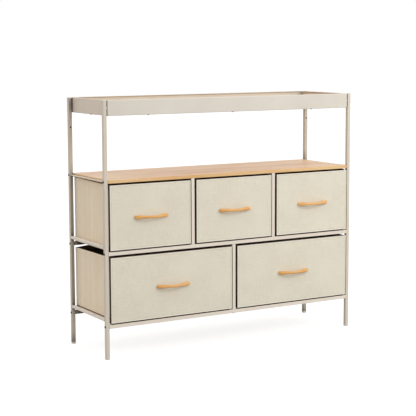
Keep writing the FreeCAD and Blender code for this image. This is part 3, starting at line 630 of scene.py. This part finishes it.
def add_stitch(bm, centre, along, outward, rng):
    """One thread bar with ends that dip into the cloth; a section is its place, width and dip."""
    side = along.cross(outward)
    lean = Matrix.Rotation(rng.uniform(-STITCH_LEAN, STITCH_LEAN), 3, outward)
    along = lean @ along
    side = lean @ side
    rings = []
    for t, width, dip in STITCH_SECTIONS:
        middle = centre + along * (t * STITCH_LENGTH) - outward * (dip * STITCH_RADIUS)
        verts = []
        for k in range(STITCH_SIDES):
            a = math.radians(360 / STITCH_SIDES * k)
            spot = middle + (side * math.cos(a) + outward * math.sin(a)) * (STITCH_RADIUS * width)
            verts.append(bm.verts.new(spot))
        rings.append(verts)
    closed_tube(bm, rings)


def run_of_stitches(bm, start, end, outward, rng):
    length = (end - start).length
    along = (end - start).normalized()
    count = int(length / STITCH_PITCH)
    for i in range(count):
        add_stitch(bm, start + along * (length * (i + 0.5) / count), along, outward, rng)


def drawer_stitches(name, material, rng):
    """The seam around the front's border and the one in the hem of the other three walls."""
    bm = bmesh.new()
    low, high = front_box(name)
    y = low.y + BORDER_SINK
    x0, x1 = low.x + BAND, high.x - BAND
    z0, z1 = low.z + BAND, high.z - BAND
    corners = [Vector((x, y, z)) for x, z in ((x0, z0), (x1, z0), (x1, z1), (x0, z1))]
    for start, end in zip(corners, corners[1:] + corners[:1]):
        run_of_stitches(bm, start, end, Vector((0, -1, 0)), rng)
    low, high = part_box(name + "_drawer_body")
    z = high.z - HEM + HEM_STITCH
    fold = (low.y + high.y) / 2
    for side, wall_x in ((-1, low.x), (1, high.x)):
        x = wall_x - side * HEM_SINK
        for y0, y1 in ((low.y + 8 * MM, fold - 4 * MM), (fold + 4 * MM, high.y - 6 * MM)):
            run_of_stitches(bm, Vector((x, y0, z)), Vector((x, y1, z)), Vector((side, 0, 0)), rng)
    x0, x1, y = low.x + 6 * MM, high.x - 6 * MM, high.y - HEM_SINK
    run_of_stitches(bm, Vector((x0, y, z)), Vector((x1, y, z)), Vector((0, 1, 0)), rng)
    as_object(name + "_drawer_stitches", bm, [material], name + "_drawer", 60.0)


# ---------------------------------------------------------------- handles
GRIP_HALF = 64 * MM           # half its length
GRIP_OUT = 25 * MM            # how far the bow stands out
GRIP_BAR = 8 * MM             # its thickness at the middle
GRIP_FOOT = 24 * MM           # length of a foot
GRIP_END = 5 * MM             # thickness at the tips
GRIP_END_HALF = 6 * MM        # half its height at the feet, and the radius of the round tips
GRIP_WAIST_HALF = 4.5 * MM    # half its height at the middle
GRIP_TURNS = 28               # points round a section
FOOT_SQUARENESS = 5.0         # powers of the section's superellipse: the back of a foot,
BOW_SQUARENESS = 2.7          # the back of the bow
FACE_SQUARENESS = 2.5         # and the face
TIP_THINNESS = 0.72           # share of the thickness left at the very tips


def arc_depth(x, half, rise):
    """Height of a circular arc over its chord of the given half length."""
    radius = (half ** 2 + rise ** 2) / (2 * rise)
    return math.sqrt(max(radius ** 2 - x ** 2, 0.0)) - (radius - rise)


def grip_stations():
    """Where the handle's sections lie along it, from end to end."""
    round_start = GRIP_HALF - GRIP_END_HALF
    inner_half = GRIP_HALF - GRIP_FOOT
    places = [round_start + GRIP_END_HALF * math.cos(math.radians(10 * k)) for k in range(10)]
    places += [round_start - d * MM for d in (3, 6, 9, 12, 15)]
    places += [inner_half + 1.2 * MM, inner_half - 0.5 * MM]
    places += [inner_half * (1 - k / 14) for k in range(1, 15)]
    places = sorted({round(p, 6) for p in places})
    return [-p for p in reversed(places) if p > 0] + places


def bow_handle(name, material):
    """Bowed wooden pull: round sections that swell into flat feet with blunt round ends."""
    low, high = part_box(name + "_drawer_handle")
    middle = (low + high) / 2
    seat = high.y
    round_start = GRIP_HALF - GRIP_END_HALF
    inner_half = GRIP_HALF - GRIP_FOOT
    bm = bmesh.new()
    rings = []
    for x in grip_stations():
        out = GRIP_END + arc_depth(x, GRIP_HALF, GRIP_OUT - GRIP_END)
        gap = arc_depth(x, inner_half, GRIP_OUT - GRIP_BAR) if abs(x) < inner_half else 0.0
        past = abs(x) - round_start
        tip = 1.0
        if past > 0:
            tip = math.sqrt(max(1 - (past / GRIP_END_HALF) ** 2, 0.0))
            half_height = GRIP_END_HALF * tip
        else:
            half_height = GRIP_END_HALF - (GRIP_END_HALF - GRIP_WAIST_HALF) * (1 - (x / round_start) ** 2)
        squeeze = TIP_THINNESS + (1 - TIP_THINNESS) * tip
        half_depth = (out - gap) / 2
        centre = seat - (out + gap) / 2 + half_depth * (1 - squeeze)
        half_depth *= squeeze
        lifted = smooth(gap / (6 * MM))
        back_power = 2 / (FOOT_SQUARENESS - (FOOT_SQUARENESS - BOW_SQUARENESS) * lifted)
        verts = []
        for k in range(GRIP_TURNS):
            a = 2 * math.pi * k / GRIP_TURNS
            c, s = math.cos(a), math.sin(a)
            power = back_power if s > 0 else 2 / FACE_SQUARENESS
            py = math.copysign(abs(s) ** power, s) * half_depth
            pz = math.copysign(abs(c) ** power, c) * max(half_height, 0.05 * MM)
            verts.append(bm.verts.new((middle.x + x, centre + py, middle.z + pz)))
        rings.append(verts)
    closed_tube(bm, rings)
    piece = as_object(name + "_drawer_pull", bm, [material], name + "_drawer", 50.0)
    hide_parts(name + "_drawer_handle")


# ---------------------------------------------------------------- finishes of the CAD's own pieces
# What a node's name starts and ends with, and its finish; the first row that fits counts.
NODE_FINISHES = (
    ("leg_feet", "", "foot"),
    ("leg_top_caps", "", "foot"),
    ("leg_front", "", "front_leg"),
    ("leg_back", "", "back_leg"),
    ("shelf_board", "", "shelf"),
    ("tray_floor_board", "", "tray_floor"),
    ("tray_left", "_panel", "tray_side"),
    ("tray_right", "_panel", "tray_side"),
    ("tray_", "_panel", "tray"),
    ("frame_bolts", "", "frame_bolt"),
    ("post_bolts", "", "dark_bolt"),
    ("tray_bolts", "", "dark_bolt"),
    ("tray_floor_screws", "", "dark_bolt"),
    ("", "_rail_back", "back_rail"),
    ("", "_handle_screws", "zinc"),
    ("", "_bottom_board", "bottom_board"),
    ("", "", "frame"),
)


def finish_nodes(finishes):
    """Gives each CAD node its material; finishes maps a finish to the material."""
    for name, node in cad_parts.items():
        for start, end, finish in NODE_FINISHES:
            if name.startswith(start) and name.endswith(end):
                break
        node.data.materials.clear()
        node.data.materials.append(finishes[finish])


# ---------------------------------------------------------------- light and floor
AMBIENT = 0.94                # the world's strength, as the object sees it
KEY_POWER = 32.0
KEY_SIZE = (1.5, 1.2)
KEY_PLACE = Vector((1.55, -2.35, 1.95))
KEY_AIM = Vector((0.0, 0.0, 0.45))
FLOOR_HALF = 14.0
FLOOR_TONE = 0.50             # what the object sees of the floor
FLOOR_SEEN = 0.36             # share of the floor's own shading that the camera sees
FLOOR_GLOW = 0.78             # what is added to it


def light_the_room():
    """A plain world that looks white itself, and one soft lamp."""
    world = bpy.data.worlds.new("studio")
    bpy.context.scene.world = world
    world.use_nodes = True
    nodes, links = world.node_tree.nodes, world.node_tree.links
    nodes.clear()
    paths = nodes.new("ShaderNodeLightPath")
    shown = paths.outputs["Is Camera Ray"]
    for ray in ("Is Glossy Ray", "Is Transmission Ray"):
        either = nodes.new("ShaderNodeMath")
        either.operation = "MAXIMUM"
        links.new(shown, either.inputs[0])
        links.new(paths.outputs[ray], either.inputs[1])
        shown = either.outputs[0]
    strength = nodes.new("ShaderNodeMapRange")
    strength.inputs["To Min"].default_value = AMBIENT
    strength.inputs["To Max"].default_value = 1.0
    links.new(shown, strength.inputs["Value"])
    background = nodes.new("ShaderNodeBackground")
    background.inputs["Color"].default_value = (1, 1, 1, 1)
    links.new(strength.outputs[0], background.inputs["Strength"])
    out = nodes.new("ShaderNodeOutputWorld")
    links.new(background.outputs[0], out.inputs[0])

    data = bpy.data.lights.new("key", "AREA")
    data.shape = "RECTANGLE"
    data.size, data.size_y = KEY_SIZE
    data.energy = KEY_POWER
    key = bpy.data.objects.new("key", data)
    bpy.context.scene.collection.objects.link(key)
    key.location = KEY_PLACE
    key.rotation_euler = (KEY_AIM - KEY_PLACE).to_track_quat("-Z", "Y").to_euler()


def lay_floor():
    """A pale floor that the camera sees as nearly white, with the object's shadow on it."""
    bm = bmesh.new()
    corners = [(-FLOOR_HALF, -FLOOR_HALF), (FLOOR_HALF, -FLOOR_HALF), (FLOOR_HALF, FLOOR_HALF),
               (-FLOOR_HALF, FLOOR_HALF)]
    bm.faces.new([bm.verts.new((x, y, 0.0)) for x, y in corners])
    mesh = bpy.data.meshes.new("floor")
    bm.to_mesh(mesh)
    bm.free()
    floor = bpy.data.objects.new("floor", mesh)
    bpy.context.scene.collection.objects.link(floor)
    material = bpy.data.materials.new("pale_floor")
    material.use_nodes = True
    nodes, links = material.node_tree.nodes, material.node_tree.links
    nodes.clear()
    paths = nodes.new("ShaderNodeLightPath")
    plain = nodes.new("ShaderNodeBsdfDiffuse")
    plain.inputs["Color"].default_value = (FLOOR_TONE,) * 3 + (1.0,)
    seen = nodes.new("ShaderNodeBsdfDiffuse")
    seen.inputs["Color"].default_value = (FLOOR_SEEN,) * 3 + (1.0,)
    glow = nodes.new("ShaderNodeEmission")
    glow.inputs["Strength"].default_value = FLOOR_GLOW
    both = nodes.new("ShaderNodeAddShader")
    links.new(seen.outputs[0], both.inputs[0])
    links.new(glow.outputs[0], both.inputs[1])
    pick = nodes.new("ShaderNodeMixShader")
    links.new(paths.outputs["Is Camera Ray"], pick.inputs[0])
    links.new(plain.outputs[0], pick.inputs[1])
    links.new(both.outputs[0], pick.inputs[2])
    out = nodes.new("ShaderNodeOutputMaterial")
    links.new(pick.outputs[0], out.inputs[0])
    mesh.materials.append(material)


# ---------------------------------------------------------------- the dresser
def dress():
    """Makes every material, then the pieces of one drawer after another."""
    fronts = woven_cloth("front_cloth", "e1d8c4", "e7e1cd", "f0eada", "e4e0da")
    # painted light: a lighter copy of the front cloth, for the fronts' raised borders
    painted_light_hems = woven_cloth("hem_cloth_painted_light", "ebe2ce", "f0e9d8", "f6f1e4", "e4e0da")
    # painted light: a lighter, warmer copy of the front cloth, for the drawers' sides
    sides = woven_cloth("side_cloth_painted_light", "f5debd", "fae6c7", "fdf0da", "efebe5", walls=True, sheen=0.4, ior=1.5)
    # painted shade: the inner cloth and the tape are dark to stand in for the shade inside the drawers and in
    # the gaps beside them
    shaded_lining = nonwoven("lining_cloth", "4a3726", "57432f")
    shade_tape = nonwoven("painted_shade_strip", "3f2d1c", "4c3825")
    sewing = thread()
    pull = wood("pull_wood", ("d99a4e", "e6ac66", "f0bf80"), gloss=0.38, coarse=2.4)
    finish_nodes({
        "frame": powder_coat("powder_coat", "e3d7c8", "eadfd0"),
        # painted shade: the legs' paint is a darker copy of the frame's
        "front_leg": powder_coat("leg_coat", "d1c5b5", "d8cdbd", "leg_front_left"),
        # painted shade: the back legs' paint is darker still; it and the back rails' paint take the drawers'
        # shade from up to 60 and 150 mm away
        "back_leg": powder_coat("back_leg_coat", "c9bcab", "d0c4b4", "leg_back_left", 60 * MM, 0.35, 0.95),
        "back_rail": powder_coat("back_rail_coat", "e3d7c8", "eadfd0", None, 150 * MM, 0.5, 0.97),
        "tray": powder_coat("tray_coat", "d3cbbe", "dad3c6"),
        # painted shade: the tray's left and right panels take a darker, warmer copy of its paint
        "tray_side": powder_coat("tray_side_coat", "d5c6b4", "dccdbb"),
        "shelf": wood("shelf_wood", ("d6ac82", "e5c39e", "efd3b2"), ("d1a063", "e0b680", "e6c391")),
        "tray_floor": wood("tray_wood", ("dbb085", "eac8a2", "f4d8b6")),
        "foot": plastic(),
        "dark_bolt": metal("dark_bolt", "24211f", "3b3734", 0.35, 0.55, 0.7),
        "frame_bolt": metal("bolt_steel", "2c3032", "43484a", 0.35, 0.55, 0.6),
        "zinc": metal("zinc_screw", "a9a8a3", "c9c8c4", 0.3, 0.5, 1.0),
        "bottom_board": nonwoven("bottom_board_cloth", "8f806c", "9d8e79"),
    })
    rng = random.Random(11)
    for index, name in enumerate(DRAWERS):
        seed = 1.7 * index + 0.6
        drawer_cloth(name, sides, shaded_lining, shade_tape, seed)
        drawer_panel(name, fronts, painted_light_hems, shade_tape, seed)
        drawer_stitches(name, sewing, rng)
        bow_handle(name, pull)


bpy.context.scene.view_settings.view_transform = "Standard"
place_camera()
light_the_room()
lay_floor()
dress()
